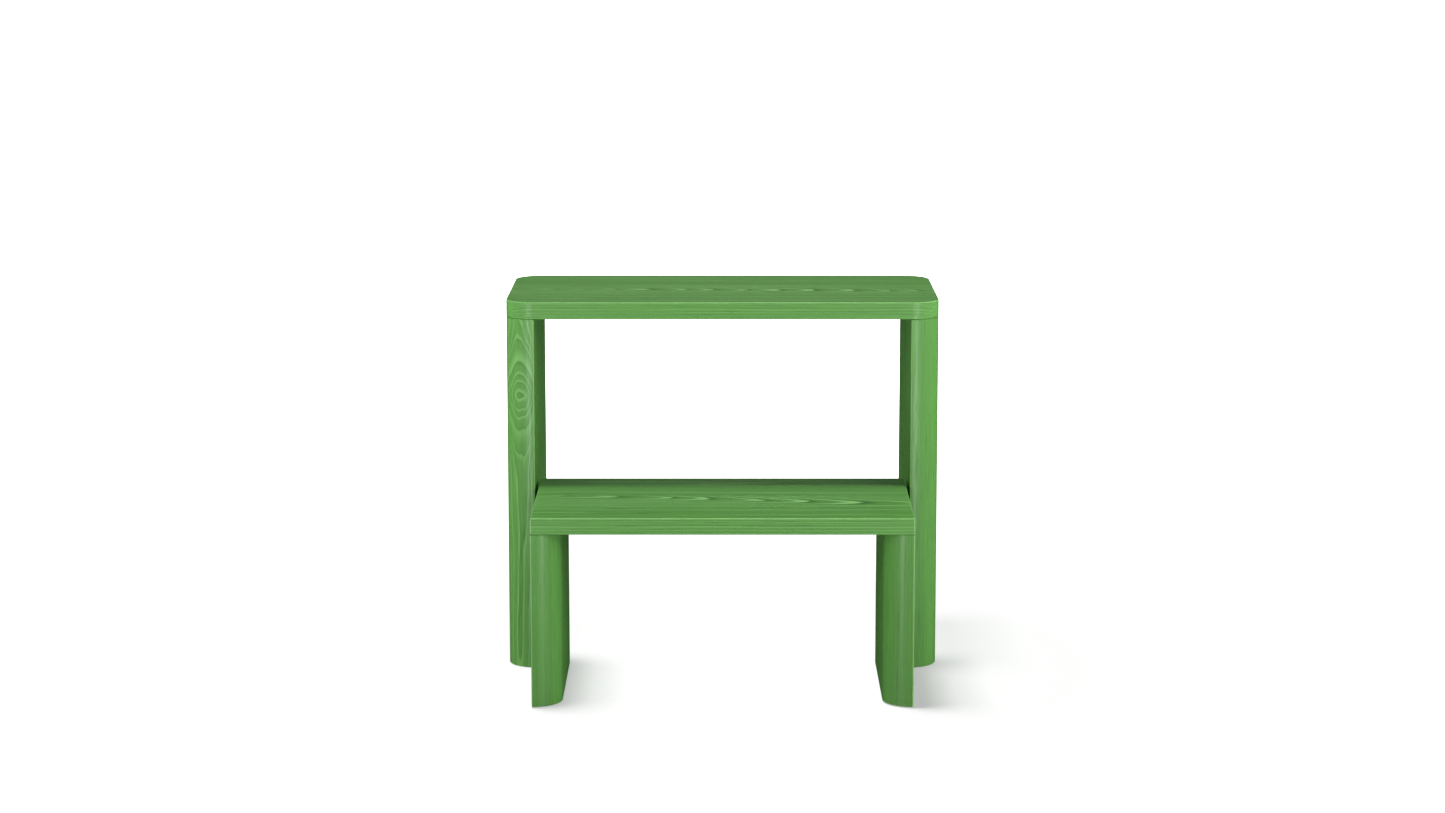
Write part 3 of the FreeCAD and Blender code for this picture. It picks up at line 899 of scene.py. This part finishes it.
# %% Floor
FLOOR_HALF_SIZE = 40.0
GLOW_NEAR = 0.46
GLOW_FAR = 3.0
GLOW_FROM = 0.40
GLOW_TO = 2.2
FLOOR_GREY = "#9a9a9a"
FLOOR_ROUGHNESS = 0.9
WHITE = "#ffffff"

bm = bmesh.new()
bmesh.ops.create_grid(bm, x_segments=1, y_segments=1, size=FLOOR_HALF_SIZE)
floor_mesh = bpy.data.meshes.new("studio_floor")
bm.to_mesh(floor_mesh)
bm.free()
floor = bpy.data.objects.new("studio_floor", floor_mesh)
floor.location.z = cad_box[0][2]
floor.visible_glossy = False
bpy.context.scene.collection.objects.link(floor)
floor_paint, tree, output = new_material("glowing white studio floor")
place = add_node(tree, "ShaderNodeTexCoord").outputs["Object"]
away = add_node(tree, "ShaderNodeVectorMath", {0: place}, operation="LENGTH").outputs["Value"]
# the glow is painted light, dimmer near the stool; far out it also lights the stool as a low fill
glow = add_node(
    tree, "ShaderNodeMapRange",
    {"Value": away, "From Min": GLOW_FROM, "From Max": GLOW_TO, "To Min": GLOW_NEAR,
     "To Max": GLOW_FAR},
).outputs["Result"]
paint = add_node(
    tree, "ShaderNodeBsdfPrincipled",
    {"Base Color": linear(FLOOR_GREY), "Roughness": FLOOR_ROUGHNESS, "Specular IOR Level": 0.0,
     "Emission Color": linear(WHITE), "Emission Strength": glow},
)
tree.links.new(paint.outputs["BSDF"], output.inputs["Surface"])
floor_mesh.materials.append(floor_paint)
print("floor glows from", GLOW_NEAR, "to", GLOW_FAR)

# %% [markdown]
# The background is pure white to look at, but it would wash out the green if it also lit the
# wood from every side. So it is kept out of the lighting, and lamps do that work.

# %% Background and view
BACKGROUND_STRENGTH = 1.05
world = bpy.data.worlds.new("white studio")
world.use_nodes = True
world.node_tree.nodes["Background"].inputs["Color"].default_value = linear(WHITE)
world.node_tree.nodes["Background"].inputs["Strength"].default_value = BACKGROUND_STRENGTH
world.cycles_visibility.diffuse = False
world.cycles_visibility.glossy = False
bpy.context.scene.world = world
bpy.context.scene.view_settings.view_transform = "Standard"
print("background", world.name, "at strength", BACKGROUND_STRENGTH)

# %% [markdown]
# ## The lamps
#
# Large area lamps give soft light. One hangs straight above, for the treads. Two broad ones
# stand low at the front, to the left and the right, and make the rounded corners turn from
# light to dark. Weaker ones at the front, the sides and the back fill in the other faces. Two
# narrow strips, close and low, add a soft bright line on the rounded corners. These lamps light
# the stool and not the floor, which light linking sets.
#
# Two more lamps do the opposite: they light only the floor, from above and slightly to the
# left, and leave soft shadows on the legs' right. The short legs alone block one of them, and
# all four legs block the other. No real studio has such lamps.

# %% Lamps
LAMPS = {
    "overhead": {"azimuth": 0, "height": 88, "size": (0.5, 0.5), "power": 106.0},
    "front_high": {"azimuth": 0, "height": 25, "size": (1.5, 1.5), "power": 14.0},
    "front_left": {"azimuth": -65, "height": 18, "size": (3.0, 2.0), "power": 95.0},
    "front_right": {"azimuth": 65, "height": 18, "size": (3.0, 2.0), "power": 146.0},
    "strip_left": {"azimuth": -31, "height": -4, "size": (0.10, 0.19), "power": 9.0},
    "strip_right": {"azimuth": 31, "height": -4, "size": (0.10, 0.19), "power": 9.0},
    "side_left": {"azimuth": -100, "height": 20, "size": (1.5, 1.5), "power": 40.0},
    "side_right": {"azimuth": 100, "height": 20, "size": (1.5, 1.5), "power": 40.0},
    "back_high": {"azimuth": 180, "height": 33, "size": (1.5, 1.5), "power": 6.0},
    "floor_low_legs": {"azimuth": -90, "height": 77, "size": (1.5, 1.5), "power": 226.0},
    "floor_all_legs": {"azimuth": -90, "height": 84, "size": (0.8, 0.8), "power": 88.0},
}
FLOOR_LAMPS = {
    "floor_low_legs": ("lower_left", "lower_right"),
    "floor_all_legs": tuple(leg_pieces),
}
# only these show in the lacquer; the broad ones would leave a white glare on the boards
MIRRORED_LAMPS = ("overhead", "strip_left", "strip_right", "back_high")
# the strips stand close, below the boards' top faces, and only their shine is wanted
STRIPS = ("strip_left", "strip_right")
STRIP_DISTANCE = 1.4
LAMP_DISTANCE = 4.0
LAMP_TARGET = Vector((0.0, 0.0, 0.2))

no_floor = bpy.data.collections.new("everything but the floor")
no_floor.objects.link(floor)
no_floor.collection_objects[0].light_linking.link_state = "EXCLUDE"
floor_only = bpy.data.collections.new("the floor alone")
floor_only.objects.link(floor)

for lamp_name, lamp in LAMPS.items():
    turn = math.radians(lamp["azimuth"])
    rise = math.radians(lamp["height"])
    towards = Vector((
        math.cos(rise) * math.sin(turn), -math.cos(rise) * math.cos(turn), math.sin(rise),
    ))
    light = bpy.data.lights.new(lamp_name, "AREA")
    light.shape = "RECTANGLE"
    light.size, light.size_y = lamp["size"]
    light.energy = lamp["power"]
    holder = bpy.data.objects.new(lamp_name, light)
    distance = STRIP_DISTANCE if lamp_name in STRIPS else LAMP_DISTANCE
    holder.location = LAMP_TARGET + distance * towards
    holder.rotation_euler = towards.to_track_quat("Z", "Y").to_euler()
    holder.visible_camera = False
    holder.visible_glossy = lamp_name in MIRRORED_LAMPS
    holder.visible_diffuse = lamp_name not in STRIPS
    holder.light_linking.receiver_collection = no_floor
    if lamp_name in FLOOR_LAMPS:
        blockers = bpy.data.collections.new(f"blockers of {lamp_name}")
        for key in FLOOR_LAMPS[lamp_name]:
            blockers.objects.link(leg_pieces[key])
        holder.light_linking.receiver_collection = floor_only
        holder.light_linking.blocker_collection = blockers
    bpy.context.scene.collection.objects.link(holder)
    print(lamp_name, lamp["power"], "W")

# %% [markdown]
# ## The camera
#
# A long lens from about three and a half metres away keeps the legs almost parallel. It stands
# 0.9 m above the floor and looks slightly down, so both treads show.

# %% Camera
CAMERA_DISTANCE = 3.565
CAMERA_HEIGHT = 0.900
CAMERA_PITCH = math.radians(9.585)
CAMERA_LENS = 81.5
camera_data = bpy.data.cameras.new("camera")
camera_data.sensor_width = 36.0
camera_data.lens = CAMERA_LENS
camera = bpy.data.objects.new("camera", camera_data)
camera.location = (0.0, upper_front - CAMERA_DISTANCE, CAMERA_HEIGHT)
camera.rotation_euler = (math.pi / 2 - CAMERA_PITCH, 0.0, 0.0)
bpy.context.scene.collection.objects.link(camera)
bpy.context.scene.camera = camera
print("camera", CAMERA_DISTANCE, "m in front,", CAMERA_HEIGHT, "m high, lens", CAMERA_LENS, "mm")
